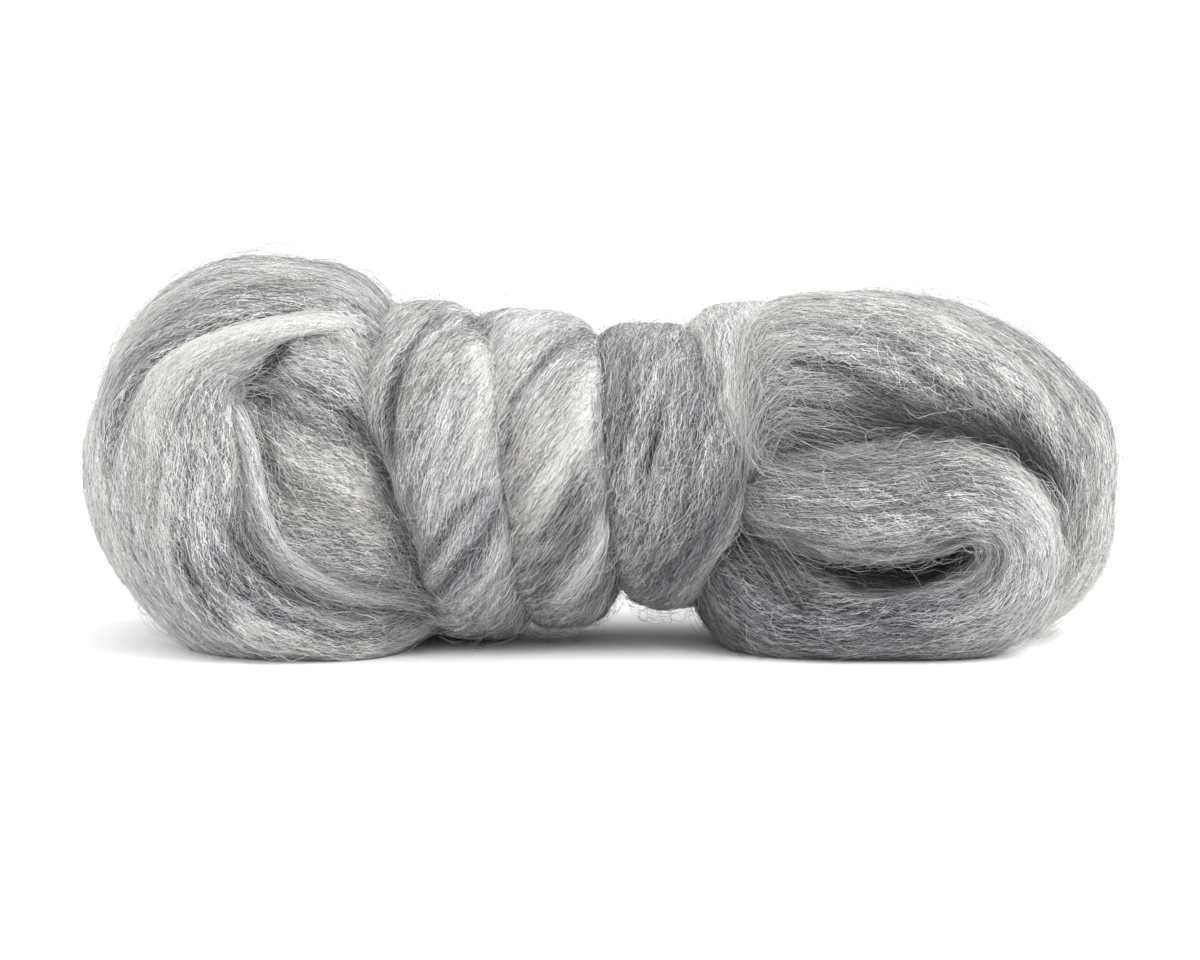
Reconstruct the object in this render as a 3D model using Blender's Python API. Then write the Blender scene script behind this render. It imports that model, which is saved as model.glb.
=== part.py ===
"""A hank of combed wool roving.

One long soft rope of wool is folded to and fro into a bundle, and its own tail is wound
three times round the waist of the bundle and tucked in, so a fat fold bulges out at each end.
The hank lies along X, its folds face -Y, and it rests on z = 0 under its middle.

Every strand is a closed loft through rings, one ring for each row of its table, and the hank
is the union of the strands, pressed flat where it lies. Tables are in millimetres.
"""
import math
from collections import namedtuple

import bmesh
import bpy
import numpy as np

MM = 0.001

# Driving sizes of the roving in millimetres, and how finely its rings are cut. A round of 2
# makes an ellipse, and more makes a fuller oval.
WAIST_HEIGHT = 46.5
STRAND_HALF_DEPTH = 14.0
FOLD_ROUND = 2.0
WRAP_ROUND = 2.6
RINGS_PER_ROW = 3
RINGS_PER_QUARTER = 5
RINGS_PER_CORE_ROW = 2
FOLD_CORNERS = 20
WRAP_CORNERS = 12
CUTTER_SIZE = 400.0
WOOL_GREY = (0.42, 0.42, 0.43, 1.0)

# A ring of a fold runs from its inner edge, by the eye that it turns round, to its outer edge.
# crest is how far out its front and back stand highest, and front and back are their Y.
Fold = namedtuple("Fold", "inner_x inner_z outer_x outer_z crest front back")

OUTER_BAND = [
    Fold(-40, 66, -40, 76, 0.50, -12, 14),
    Fold(-50, 69, -50, 81, 0.50, -17, 18),
    Fold(-58, 72, -57, 89, 0.50, -24, 26),
    Fold(-64, 75, -61.5, 95, 0.50, -28, 32),
    Fold(-71, 78, -68, 99.5, 0.45, -31, 37),
    Fold(-84, 80, -78, 102, 0.40, -33, 41),
    Fold(-100, 78, -100, 103, 0.35, -35, 44),
    Fold(-119, 67, -125, 88, 0.35, -38, 46),
    Fold(-124, 54, -137, 61, 0.30, -34, 46),
    Fold(-122, 41, -136, 40, 0.30, -28, 45),
    Fold(-103, 18, -117, 10, 0.30, -24, 43),
    Fold(-86, 13, -96, -2, 0.35, -24, 40),
    Fold(-67, 10, -73, -5, 0.45, -24, 36),
    Fold(-53, 10, -55, -4, 0.50, -22, 28),
    Fold(-40, 12, -40, 5, 0.50, -14, 16),
]
MIDDLE_BAND = [
    Fold(-40, 68, -40, 77, 0.50, -10, 8),
    Fold(-50, 73, -50, 83, 0.50, -14, 8),
    Fold(-57, 78, -57, 88, 0.50, -21, 8),
    Fold(-63, 81, -63, 91, 0.50, -29, 8),
    Fold(-70, 83, -70, 93, 0.50, -37, 8),
    Fold(-81, 82, -87, 91, 0.45, -43, 8),
    Fold(-88, 78, -108, 86, 0.35, -46, 8),
    Fold(-92, 74, -126, 76, 0.28, -47, 12),
    Fold(-92, 68, -137, 58, 0.22, -47, 20),
    Fold(-91, 58, -138, 44, 0.20, -47, 24),
    Fold(-91, 47, -134, 28, 0.20, -47, 24),
    Fold(-92, 38, -123, 12, 0.24, -47, 24),
    Fold(-87, 29, -106, -2, 0.30, -46, 20),
    Fold(-77, 21, -86, -5, 0.38, -44, 14),
    Fold(-61, 16, -60, -4, 0.50, -37, 8),
    Fold(-42, 16, -40, 8, 0.50, -18, 8),
]
RIDGE = [
    Fold(-111, 80, -100, 78, 0.60, -36, -24),
    Fold(-108, 72, -95, 71, 0.74, -42.5, -26),
    Fold(-105, 63, -90.8, 64, 0.82, -45.8, -28),
    Fold(-103, 55, -88.5, 57, 0.84, -47.1, -28),
    Fold(-101, 47, -87.5, 51, 0.85, -47.7, -28),
    Fold(-99.5, 39.5, -86.6, 44.5, 0.85, -47.7, -28),
    Fold(-96.5, 31, -85, 38.5, 0.84, -47.7, -28),
    Fold(-90, 24, -81.5, 31.5, 0.82, -47.7, -28),
    Fold(-77, 16.5, -73, 24, 0.74, -46.2, -26),
    Fold(-63, 12.5, -61, 21, 0.64, -40.5, -22),
    Fold(-50, 11, -49, 19.5, 0.55, -31.5, -16),
    Fold(-40, 12, -39, 18, 0.50, -20, -8),
]
FAN = [
    Fold(-105, 62, -94, 83, 0.50, -25, 4),
    Fold(-104, 46, -87, 90, 0.50, -37.5, 4),
    Fold(-100, 28, -78, 95, 0.52, -43.5, 2),
    Fold(-89, 12, -69, 95, 0.52, -45.5, 2),
    Fold(-70, 6, -64, 91, 0.52, -44, 2),
    Fold(-55, 5, -59, 82, 0.50, -36, 2),
    Fold(-42, 8, -48, 70, 0.50, -20, 2),
]
LEFT_BACK_FOLD = [
    Fold(-38, 46, -38, 82, 0.50, -18, 28),
    Fold(-62, 48, -60, 92, 0.50, -18, 38),
    Fold(-84, 50, -82, 94, 0.45, -18, 44),
    Fold(-93, 51, -112, 86, 0.35, -18, 46),
    Fold(-95, 49, -129, 62, 0.30, -18, 47),
    Fold(-95, 46, -131, 38, 0.30, -18, 47),
    Fold(-92, 44, -112, 14, 0.30, -18, 46),
    Fold(-82, 45, -84, 5, 0.40, -18, 43),
    Fold(-60, 46, -58, 5, 0.50, -18, 38),
    Fold(-38, 47, -36, 10, 0.50, -18, 26),
]
ARCH = [
    Fold(34, 53, 35, 82, 0.50, -26, 24),
    Fold(46, 51, 46, 91.5, 0.50, -35, 34),
    Fold(63, 54, 65, 94, 0.50, -36, 39),
    Fold(84, 54, 93, 91, 0.50, -36, 41),
    Fold(104, 47, 122, 76, 0.50, -33, 42),
    Fold(111, 37, 136, 60, 0.50, -29, 42),
    Fold(114, 27, 138, 40, 0.50, -24, 41),
    Fold(112, 16, 137, 22, 0.50, -19, 40),
    Fold(95, 7, 121, 2, 0.50, -7, 40),
    Fold(73, 7, 99, -3, 0.50, -4, 38),
    Fold(51, 10, 63, -3, 0.50, -4, 34),
    Fold(38, 16, 40, 4, 0.50, -4, 24),
    Fold(24, 28, 24, 18, 0.50, -2, 14),
]
INNER_FOLD = [
    Fold(34, 54, 34, 76, 0.50, -27, 12),
    Fold(46, 52, 47, 81, 0.50, -35.5, 12),
    Fold(57, 53, 59, 77, 0.50, -35.5, 12),
    Fold(66, 53, 69, 71, 0.50, -32, 12),
    Fold(75, 53, 78, 65, 0.50, -26, 12),
    Fold(83, 52, 86, 59, 0.50, -19, 12),
]
FRONT_ROLL = [
    Fold(33, 35, 33, 49, 0.50, -26, 8),
    Fold(45, 28, 44, 54, 0.50, -38, 8),
    Fold(56, 25, 55, 57, 0.45, -43, 8),
    Fold(66, 24.5, 67, 58, 0.38, -45, 8),
    Fold(77, 25, 80, 59, 0.34, -46, 8),
    Fold(86, 26.3, 97, 58, 0.36, -46, 8),
    Fold(93, 28.5, 111, 50, 0.42, -46, 8),
    Fold(95.5, 29.5, 120, 35, 0.48, -45, 8),
    Fold(95.5, 28, 120, 20, 0.50, -44, 8),
    Fold(92, 25, 111, 4, 0.48, -43, 8),
    Fold(85, 22.8, 97, -3, 0.42, -43, 8),
    Fold(75, 21.5, 77, -5, 0.40, -43, 8),
    Fold(65, 22, 57, -4, 0.45, -42, 8),
    Fold(54, 27, 39, -3, 0.50, -37, 8),
    Fold(44, 33, 27, 6, 0.50, -29, 8),
    Fold(36, 35, 22.5, 16, 0.50, -20, 8),
]
RIGHT_BACK_FOLD = [
    Fold(35, 33, 35, 60, 0.50, -12, 28),
    Fold(60, 33, 60, 66, 0.50, -12, 38),
    Fold(85, 33, 88, 65, 0.45, -12, 42),
    Fold(98, 33, 115, 54, 0.35, -12, 43),
    Fold(100, 31, 124, 32, 0.30, -12, 43),
    Fold(97, 28, 113, 10, 0.30, -12, 42),
    Fold(84, 27, 86, 1, 0.40, -12, 40),
    Fold(60, 29, 58, 2, 0.50, -12, 35),
    Fold(38, 32, 36, 10, 0.50, -12, 27),
    Fold(22, 38, 20, 24, 0.50, -8, 16),
]
FOLDS = {
    "outer_band": OUTER_BAND,
    "middle_band": MIDDLE_BAND,
    "ridge": RIDGE,
    "fan": FAN,
    "left_back_fold": LEFT_BACK_FOLD,
    "arch": ARCH,
    "inner_fold": INNER_FOLD,
    "front_roll": FRONT_ROLL,
    "right_back_fold": RIGHT_BACK_FOLD,
}

# The tail winds round the waist. quarter counts quarter turns from the top towards the front,
# x is the middle of the strand, and reach is how far its outside stands from the waist's axis.
Wrap = namedtuple("Wrap", "quarter x reach half_width")

TAIL = [
    Wrap(-0.6, -52, 22, 4),
    Wrap(-0.4, -51, 31, 8),
    Wrap(-0.2, -49, 39, 13),
    Wrap(0.0, -47.5, 44.5, 16),
    Wrap(0.35, -46.5, 46.5, 18),
    Wrap(0.7, -44.5, 46.5, 18.5),
    Wrap(1.0, -40.5, 45.5, 15),
    Wrap(1.25, -36, 45.5, 13.8),
    Wrap(1.5, -34, 46, 13.5),
    Wrap(2.0, -33, 47, 15),
    Wrap(3.0, -27, 44, 15),
    Wrap(4.0, -20, 43, 19),
    Wrap(5.0, -14, 43, 15),
    Wrap(6.0, -9, 43, 13.5),
    Wrap(7.0, 1, 42, 15),
    Wrap(8.0, 12, 39, 15.5),
    Wrap(8.6, 15.5, 38.5, 17.5),
    Wrap(9.0, 19, 38.5, 20),
    Wrap(9.25, 19, 38.5, 18.5),
    Wrap(9.5, 17, 38.5, 14.5),
    Wrap(10.0, 18, 38, 14),
    Wrap(11.0, 28, 41, 15),
    Wrap(12.0, 42, 45, 19),
    Wrap(12.35, 40.5, 42, 16),
    Wrap(12.6, 37.5, 38, 10),
    Wrap(12.8, 38, 34.5, 6.5),
    Wrap(13.0, 39, 30, 4.5),
    Wrap(13.15, 40, 26, 3.5),
]

# The folds that never show are one core along the hank, an oval ring for each row.
Core = namedtuple("Core", "x y z half_depth half_height")

CORE = [
    Core(-128, 0, 46, 6, 6),
    Core(-118, 0, 46, 22, 22),
    Core(-95, 0, 46, 34, 34),
    Core(-60, 0, 46, 32, 32),
    Core(30, 0, 46, 28, 28),
    Core(60, 3, 42, 31, 30),
    Core(85, 5, 38, 33, 29),
    Core(108, 6, 36, 24, 24),
    Core(117, 6, 35, 6, 6),
]


def spacing(rows):
    """How far along the strand each row lies, by the distance from row to row."""
    steps = np.linalg.norm(np.diff(rows, axis=0), axis=1)
    return np.concatenate(([0.0], np.cumsum(steps)))


def smooth_rows(rows, at, count):
    """Rows read at even steps off a smooth curve, which passes the given rows at the places at."""
    slope = np.gradient(rows, at, axis=0)
    here = np.linspace(at[0], at[-1], count)
    k = np.clip(np.searchsorted(at, here, side="right") - 1, 0, len(at) - 2)
    span = (at[k + 1] - at[k])[:, None]
    t = (here - at[k])[:, None] / span
    return (
        (2 * t**3 - 3 * t**2 + 1) * rows[k]
        + (t**3 - 2 * t**2 + t) * span * slope[k]
        + (3 * t**2 - 2 * t**3) * rows[k + 1]
        + (t**3 - t**2) * span * slope[k + 1]
    )


def oval(corners, roundness):
    """The across and up of an oval's corners, from -1 to 1: 2 is an ellipse, more is fuller."""
    turn = 2 * math.pi * np.arange(corners) / corners
    across, up = -np.cos(turn), np.sin(turn)
    power = 2 / roundness
    return np.sign(across) * abs(across) ** power, np.sign(up) * abs(up) ** power


def fold_rings(rows):
    """A fold's rings: each is an oval between its inner and outer edge and front and back."""
    across, up = oval(FOLD_CORNERS, FOLD_ROUND)
    rows = np.array(rows, dtype=float)
    table = smooth_rows(rows, spacing(rows), RINGS_PER_ROW * len(rows))
    inner_x, inner_z, outer_x, outer_z, crest, front, back = table.T[:, :, None]
    out = ((across + 1) / 2) ** (np.log(crest) / math.log(0.5))
    x = inner_x + (outer_x - inner_x) * out
    z = inner_z + (outer_z - inner_z) * out
    y = (front + back) / 2 - (back - front) / 2 * up
    return np.stack([x, y, z], axis=2)


def wrap_rings(rows):
    """The tail's rings: each is an oval that stands out from the waist at its own turn."""
    across, up = oval(WRAP_CORNERS, WRAP_ROUND)
    rows = np.array(rows, dtype=float)
    quarters = rows[:, 0]
    turned = quarters[-1] - quarters[0]
    table = smooth_rows(rows, quarters, round(RINGS_PER_QUARTER * turned))
    quarter, x, reach, half_width = table.T[:, :, None]
    half_depth = np.minimum(STRAND_HALF_DEPTH, 2 * half_width)
    turn = quarter * math.pi / 2
    out = reach - half_depth + half_depth * up
    return np.stack([
        x + half_width * across,
        -out * np.sin(turn),
        WAIST_HEIGHT + out * np.cos(turn),
    ], axis=2)


def core_rings(rows):
    """The core's rings: each is an oval across the hank."""
    across, up = oval(WRAP_CORNERS, FOLD_ROUND)
    rows = np.array(rows, dtype=float)
    table = smooth_rows(rows, spacing(rows), RINGS_PER_CORE_ROW * len(rows))
    x, y, z, half_depth, half_height = table.T[:, :, None]
    return np.stack([x + 0 * across, y + half_depth * across, z + half_height * up], axis=2)


def loft(name, rings):
    """A closed body through the rings, flat at both ends, linked to no collection."""
    count, corners = rings.shape[:2]
    mesh = bmesh.new()
    verts = [[mesh.verts.new(point) for point in ring] for ring in rings * MM]
    for ring in range(count - 1):
        for corner in range(corners):
            after = (corner + 1) % corners
            mesh.faces.new((
                verts[ring][corner], verts[ring][after],
                verts[ring + 1][after], verts[ring + 1][corner],
            ))
    mesh.faces.new(verts[0])
    mesh.faces.new(verts[-1])
    bmesh.ops.recalc_face_normals(mesh, faces=mesh.faces)
    data = bpy.data.meshes.new(name)
    mesh.to_mesh(data)
    mesh.free()
    data.shade_smooth()
    return bpy.data.objects.new(name, data)


def as_guide(body):
    """Keeps a body out of the finished model."""
    body.hide_render = True
    body.display_type = "WIRE"
    return body


def strands_collection():
    """Every strand round the core, as guides for the union."""
    strands = bpy.data.collections.new("strands")
    bpy.context.scene.collection.children.link(strands)
    for name, rows in FOLDS.items():
        strands.objects.link(as_guide(loft(name, fold_rings(rows))))
    strands.objects.link(as_guide(loft("tail", wrap_rings(TAIL))))
    return strands


def surface_cutter():
    """A block under z = 0 that presses the hank flat where it lies."""
    size = CUTTER_SIZE * MM
    data = bpy.data.meshes.new("surface_cutter")
    mesh = bmesh.new()
    bmesh.ops.create_cube(mesh, size=size)
    bmesh.ops.translate(mesh, verts=mesh.verts, vec=(0, 0, -size / 2))
    mesh.to_mesh(data)
    mesh.free()
    cutter = as_guide(bpy.data.objects.new("surface_cutter", data))
    bpy.context.scene.collection.objects.link(cutter)
    return cutter


def wool():
    """Combed undyed wool, light and dark grey fibre mixed: matt."""
    material = bpy.data.materials.new("grey_wool")
    material.use_nodes = True
    shader = material.node_tree.nodes["Principled BSDF"]
    shader.inputs["Base Color"].default_value = WOOL_GREY
    shader.inputs["Roughness"].default_value = 0.9
    shader.inputs["Metallic"].default_value = 0.0
    return material


def roving_hank():
    """The hank: the core joined with its strands, then pressed flat underneath."""
    hank = loft("roving_hank", core_rings(CORE))
    bpy.context.scene.collection.objects.link(hank)
    hank.data.materials.append(wool())
    join = hank.modifiers.new("join_strands", "BOOLEAN")
    join.operation = "UNION"
    join.operand_type = "COLLECTION"
    join.collection = strands_collection()
    press = hank.modifiers.new("press_flat", "BOOLEAN")
    press.operation = "DIFFERENCE"
    press.object = surface_cutter()
    return hank


for thing in list(bpy.data.objects):
    bpy.data.objects.remove(thing, do_unlink=True)
roving_hank()
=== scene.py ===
"""Looks for a hank of combed grey wool roving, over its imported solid.

The hank is one long strand, so every piece here is a stretch of it. The tables give its folds
in millimetres, and a mesh turns them into metres. Each stretch is a grid of points, with rows
along the strand and columns round it, and the loose fibres are laid over those same grids.
"""
import math
from collections import namedtuple

import bpy
import numpy as np
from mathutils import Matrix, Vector
from mathutils.bvhtree import BVHTree


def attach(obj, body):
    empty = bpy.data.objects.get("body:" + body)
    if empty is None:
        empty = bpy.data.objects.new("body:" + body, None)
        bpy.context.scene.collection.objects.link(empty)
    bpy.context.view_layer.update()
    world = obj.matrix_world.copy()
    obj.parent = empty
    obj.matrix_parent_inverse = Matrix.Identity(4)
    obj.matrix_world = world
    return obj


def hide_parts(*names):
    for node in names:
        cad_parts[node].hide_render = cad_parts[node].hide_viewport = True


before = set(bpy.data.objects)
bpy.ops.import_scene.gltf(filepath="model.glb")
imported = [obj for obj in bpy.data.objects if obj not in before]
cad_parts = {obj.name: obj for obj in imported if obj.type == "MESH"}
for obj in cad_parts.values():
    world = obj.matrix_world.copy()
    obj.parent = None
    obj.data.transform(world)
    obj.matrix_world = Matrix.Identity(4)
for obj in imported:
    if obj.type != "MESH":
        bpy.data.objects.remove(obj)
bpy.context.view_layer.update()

# Outer band of the left fold. The roving comes out of the first wrap, turns over the top and
# round the end of the hank and goes back in at the bottom. It is combed wool, drawn into a
# loose rope with no twist, so its fibres lie side by side along the fold.
MM = 0.001
FOLD_ROUND = 2.0
Strand = namedtuple("Strand", "name points normals tone tint along girth lay twist wild")

# A row of a fold's table is one ring of it: the X and Z of its inner edge, by the eye that it
# turns round, the X and Z of its outer edge, how far out it is thickest, and its front and back Y.
OUTER_BAND = [
    (-40, 66, -40, 76, 0.5, -12, 14),
    (-50, 69, -50, 81, 0.5, -17, 18),
    (-58, 72, -57, 89, 0.5, -24, 26),
    (-64, 75, -61.5, 95, 0.5, -28, 32),
    (-71, 78, -68, 99.5, 0.45, -31, 37),
    (-84, 80, -78, 102, 0.4, -33, 41),
    (-100, 78, -100, 103, 0.35, -35, 44),
    (-119, 67, -125, 88, 0.35, -38, 46),
    (-124, 54, -137, 61, 0.3, -34, 46),
    (-122, 41, -136, 40, 0.3, -28, 45),
    (-103, 18, -117, 10, 0.3, -24, 43),
    (-86, 13, -96, -2, 0.35, -24, 40),
    (-67, 10, -73, -5, 0.45, -24, 36),
    (-53, 10, -55, -4, 0.5, -22, 28),
    (-40, 12, -40, 5, 0.5, -14, 16),
]

# Locks are tresses and grooves that stand out on the front. A path runs through points of the
# 1200 by 960 frame that the camera sees, width is half the lock's width there, raised is how
# many millimetres it stands out, and tone is how much lighter it is. In grooves, creases and
# hollows the darker tone is partly painted shade.
Lock = namedtuple("Lock", "path width raised tone")
LOCK_FACING, LOCK_FADE = 3.0, 0.3
FRAME_MIDDLE = (600, 480)
FOCAL_PIXELS = 3700.0
AIM = np.array([-0.7, 0.0, 43.2])
CAMERA_DISTANCE = 1000.0
CAMERA_ELEVATION = math.radians(7)

OUTER_LOCKS = [
    Lock([(372, 307), (340, 309), (300, 313), (260, 319), (220, 325)], 4, -0.8, -0.2),
    Lock([(240, 321), (190, 331), (165, 340), (143, 354), (128, 372), (112, 396)], 5, -1.0, -0.26),
    Lock([(350, 300), (300, 300), (250, 306), (200, 316), (150, 336)], 4, 0.4, 0.1),
    Lock([(330, 288), (270, 284), (210, 294), (160, 318)], 4, -0.4, -0.14),
    Lock([(320, 270), (260, 266), (200, 276), (150, 306)], 5, 0.4, 0.08),
]

# The height, tone and tint of a strand all vary in streaks of a few widths: how wide and how
# long each is, in millimetres, and how much it adds or takes.
Streak = namedtuple("Streak", "width length amount")
HEIGHT_STREAKS = [Streak(13.0, 90, 0.8), Streak(6.0, 60, 0.55), Streak(2.8, 40, 0.3)]
TONE_STREAKS = [Streak(13.0, 110, 0.08), Streak(6.0, 70, 0.1), Streak(2.8, 45, 0.1)]
TINT_STREAKS = [Streak(13.0, 80, 0.6), Streak(6.0, 60, 0.6)]


def spacing(rows):
    """How far along the strand each row lies, by the distance from row to row."""
    steps = np.linalg.norm(np.diff(rows, axis=0), axis=1)
    return np.concatenate(([0.0], np.cumsum(steps)))


def smooth_rows(rows, at, count):
    """Rows read at even steps off a smooth curve, which passes the given rows at the places at."""
    slope = np.gradient(rows, at, axis=0)
    here = np.linspace(at[0], at[-1], count)
    k = np.clip(np.searchsorted(at, here, side="right") - 1, 0, len(at) - 2)
    span = (at[k + 1] - at[k])[:, None]
    t = (here - at[k])[:, None] / span
    return (
        (2 * t**3 - 3 * t**2 + 1) * rows[k]
        + (t**3 - 2 * t**2 + t) * span * slope[k]
        + (3 * t**2 - 2 * t**3) * rows[k + 1]
        + (t**3 - t**2) * span * slope[k + 1]
    )


def oval(corners, roundness):
    """The across and up of an oval's corners, from -1 to 1: 2 is an ellipse, more is fuller."""
    turn = 2 * math.pi * np.arange(corners) / corners
    across, up = -np.cos(turn), np.sin(turn)
    power = 2 / roundness
    return np.sign(across) * abs(across) ** power, np.sign(up) * abs(up) ** power


def evenly(values, share):
    """Values at even steps along a strand, read at a share of its length."""
    return np.interp(share, np.linspace(0, 1, len(values)), values)


def even_round(rings, columns):
    """The same rings with their points spaced evenly round them."""
    closed = np.concatenate([rings, rings[:, :1]], axis=1)
    steps = np.linalg.norm(np.diff(closed, axis=1), axis=2)
    at = np.concatenate([np.zeros((len(rings), 1)), np.cumsum(steps, axis=1)], axis=1)
    share = np.arange(columns) / columns
    return np.stack([
        np.stack([np.interp(share * a[-1], a, ring[:, axis]) for axis in range(3)], axis=1)
        for a, ring in zip(at, closed)
    ])


def fold_grid(table, rows, columns):
    """A fold's grid: each row is an oval between its inner and outer edge and front and back.

    Its points' shares of the way out are raised to a power, so that it is thickest at the crest.
    """
    across, up = oval(2 * columns, FOLD_ROUND)
    table = np.array(table, dtype=float)
    inner_x, inner_z, outer_x, outer_z, crest, front, back = smooth_rows(
        table, spacing(table), rows
    ).T[:, :, None]
    out = ((across + 1) / 2) ** (np.log(crest) / math.log(0.5))
    x = inner_x + (outer_x - inner_x) * out
    z = inner_z + (outer_z - inner_z) * out
    y = (front + back) / 2 - (back - front) / 2 * up
    return even_round(np.stack([x, y, z], axis=2), columns)


def unit(vectors):
    """Each vector of a grid, made one long."""
    return vectors / (np.linalg.norm(vectors, axis=2, keepdims=True) + 1e-9)


def outward(points):
    """Unit normals of a grid, from its slopes along and round the strand."""
    along = np.gradient(points, axis=0)
    around = np.roll(points, -1, axis=1) - np.roll(points, 1, axis=1)
    normals = unit(np.cross(along, around))
    middle = points.mean(axis=1, keepdims=True)
    return normals * np.sign((normals * (points - middle)).sum())


def streaked(rng, turn, along, girth, streaks):
    """Smooth noise, drawn out along the strand: the sum of its streaks.

    For each, a lattice of random heights has one cell to every width of the streak round the
    strand and one to every length along it, and a point blends the four heights about it.
    """
    total = 0
    for streak in streaks:
        cells = max(3, round(girth / streak.width))
        x, y = turn * cells, (along - along.min()) / streak.length
        lattice = rng.uniform(-1, 1, (int(y.max()) + 2, cells))
        i, j = np.floor(x).astype(int), np.floor(y).astype(int)
        f, g = x - i, y - j
        f, g = f * f * (3 - 2 * f), g * g * (3 - 2 * g)
        low = lattice[j, i % cells] * (1 - f) + lattice[j, (i + 1) % cells] * f
        high = lattice[j + 1, i % cells] * (1 - f) + lattice[j + 1, (i + 1) % cells] * f
        total = total + streak.amount * (low * (1 - g) + high * g)
    return total


def camera_axes():
    """The camera's place, and its right, up and forward directions."""
    sine, cosine = math.sin(CAMERA_ELEVATION), math.cos(CAMERA_ELEVATION)
    right, up, forward = np.array([[1, 0, 0], [0, sine, cosine], [0, cosine, -sine]])
    return AIM - CAMERA_DISTANCE * forward, right, up, forward


def seen(points):
    """Where points show in the frame: how far right and up they are, over how far away."""
    place, right, up, forward = camera_axes()
    off = points - place
    scale = FOCAL_PIXELS / (off @ forward)
    return np.stack([
        FRAME_MIDDLE[0] + scale * (off @ right), FRAME_MIDDLE[1] - scale * (off @ up)], axis=-1)


def lock_share(shown, facing, lock):
    """How much each point belongs to a lock: a bell across its path that fades at its ends."""
    path = np.array(lock.path, dtype=float)
    at = spacing(path)
    near = np.full(shown.shape[:2], 1e9)
    share = np.zeros(shown.shape[:2])
    for k, (start, end) in enumerate(zip(path, path[1:])):
        way = end - start
        t = np.clip(((shown - start) @ way) / (way @ way), 0, 1)
        off = np.linalg.norm(shown - start - t[:, :, None] * way, axis=2)
        closer = off < near
        near = np.where(closer, off, near)
        share = np.where(closer, (at[k] + t * (at[k + 1] - at[k])) / at[-1], share)
    return np.exp(-((near / lock.width) ** 2)) * (4 * share * (1 - share)) ** LOCK_FADE * facing


def comb(name, points, lays, tones, locks, seed, coiled=False, wild=1.0):
    """A strand as it looks combed: ridges of locks raised on its grid, and a tone everywhere.

    lays and tones are read at even steps along it. The length along it is measured down every
    column from the middle row, and in a coil, whose outside runs much longer than its inside,
    down the longest one for all. Loose fibres stray from its lay the more, the more wild it is.
    """
    rng = np.random.default_rng(seed)
    normals = outward(points)
    rows, columns = points.shape[:2]
    steps = np.linalg.norm(np.diff(points, axis=0), axis=2)
    along = np.concatenate([np.zeros((1, columns)), np.cumsum(steps, axis=0)])
    if coiled:
        along = np.repeat(along.max(axis=1, keepdims=True), columns, axis=1)
    along = along - along[rows // 2]
    length = (along[-1] - along[0]).mean()
    closed = np.concatenate([points, points[:, :1]], axis=1)
    girth = np.linalg.norm(np.diff(closed, axis=1), axis=2).sum(axis=1).mean()
    share = np.linspace(0, 1, rows)
    lay = evenly(lays, share)
    twist = np.cumsum(np.tan(lay)) * length / rows
    turn = np.arange(columns) / columns - twist[:, None] / girth
    raised = streaked(rng, turn, along, girth, HEIGHT_STREAKS)
    shade = evenly(tones, share)[:, None] + streaked(rng, turn, along, girth, TONE_STREAKS)
    tint = streaked(rng, turn, along, girth, TINT_STREAKS)
    shown = seen(points)
    to_camera = camera_axes()[0] - points
    to_camera /= np.linalg.norm(to_camera, axis=2, keepdims=True)
    facing = np.clip(LOCK_FACING * (normals * to_camera).sum(axis=2), 0, 1)
    for lock in locks:
        within = lock_share(shown, facing, lock)
        raised += lock.raised * within
        shade += lock.tone * within
    points = points + normals * raised[:, :, None]
    points[:, :, 2] = np.maximum(points[:, :, 2], 0.0)
    return Strand(
        name, points, outward(points), np.clip(shade, 0, 1), tint, along, girth, lay, twist, wild)


def closed_mesh(name, points, faces):
    """A mesh in metres from points in millimetres and lists of faces of like size, faced out."""
    flat = points.reshape(-1, 3)
    a, b, c = (flat[np.concatenate([f[:, [0, 1, 2]] for f in faces])[:, k]] for k in range(3))
    quads = [f for f in faces if f.shape[1] == 4]
    d, e, g = (flat[np.concatenate([f[:, [0, 2, 3]] for f in quads])[:, k]] for k in range(3))
    volume = (a * np.cross(b, c)).sum() + (d * np.cross(e, g)).sum()
    if volume < 0:
        faces = [f[:, ::-1] for f in faces]
    sizes = np.concatenate([np.full(len(f), f.shape[1]) for f in faces])
    corners = np.concatenate([f.ravel() for f in faces])
    mesh = bpy.data.meshes.new(name)
    mesh.vertices.add(len(flat))
    mesh.vertices.foreach_set("co", (flat * MM).astype(np.float32).ravel())
    mesh.loops.add(len(corners))
    mesh.loops.foreach_set("vertex_index", corners.astype(np.int32))
    mesh.polygons.add(len(sizes))
    mesh.polygons.foreach_set("loop_start", (np.cumsum(sizes) - sizes).astype(np.int32))
    mesh.update(calc_edges=True)
    mesh.shade_smooth()
    return mesh


def put(name, data):
    """A new object in the scene, made of a mesh, a light or a camera."""
    item = bpy.data.objects.new(name, data)
    bpy.context.scene.collection.objects.link(item)
    return item


def paint(mesh, name, values):
    """Keeps one number for each point of a mesh, for its material to read."""
    mesh.attributes.new(name, "FLOAT", "POINT").data.foreach_set(
        "value", values.astype(np.float32))


def linear(hex_colour):
    """An sRGB hex colour as a linear RGBA value."""
    parts = [int(hex_colour[k:k + 2], 16) / 255 for k in (1, 3, 5)]
    return [p / 12.92 if p <= 0.04045 else ((p + 0.055) / 1.055) ** 2.4 for p in parts] + [1.0]


def add(tree, kind, settings, inputs):
    """Adds a node, sets its settings, and gives its inputs values or links.

    A node given to an input stands for its own first output.
    """
    node = tree.nodes.new(kind)
    for name, value in settings.items():
        setattr(node, name, value)
    for name, value in inputs.items():
        if isinstance(value, bpy.types.Node):
            value = value.outputs[0]
        if isinstance(value, bpy.types.NodeSocket):
            tree.links.new(value, node.inputs[name])
        else:
            node.inputs[name].default_value = value
    return node


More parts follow.
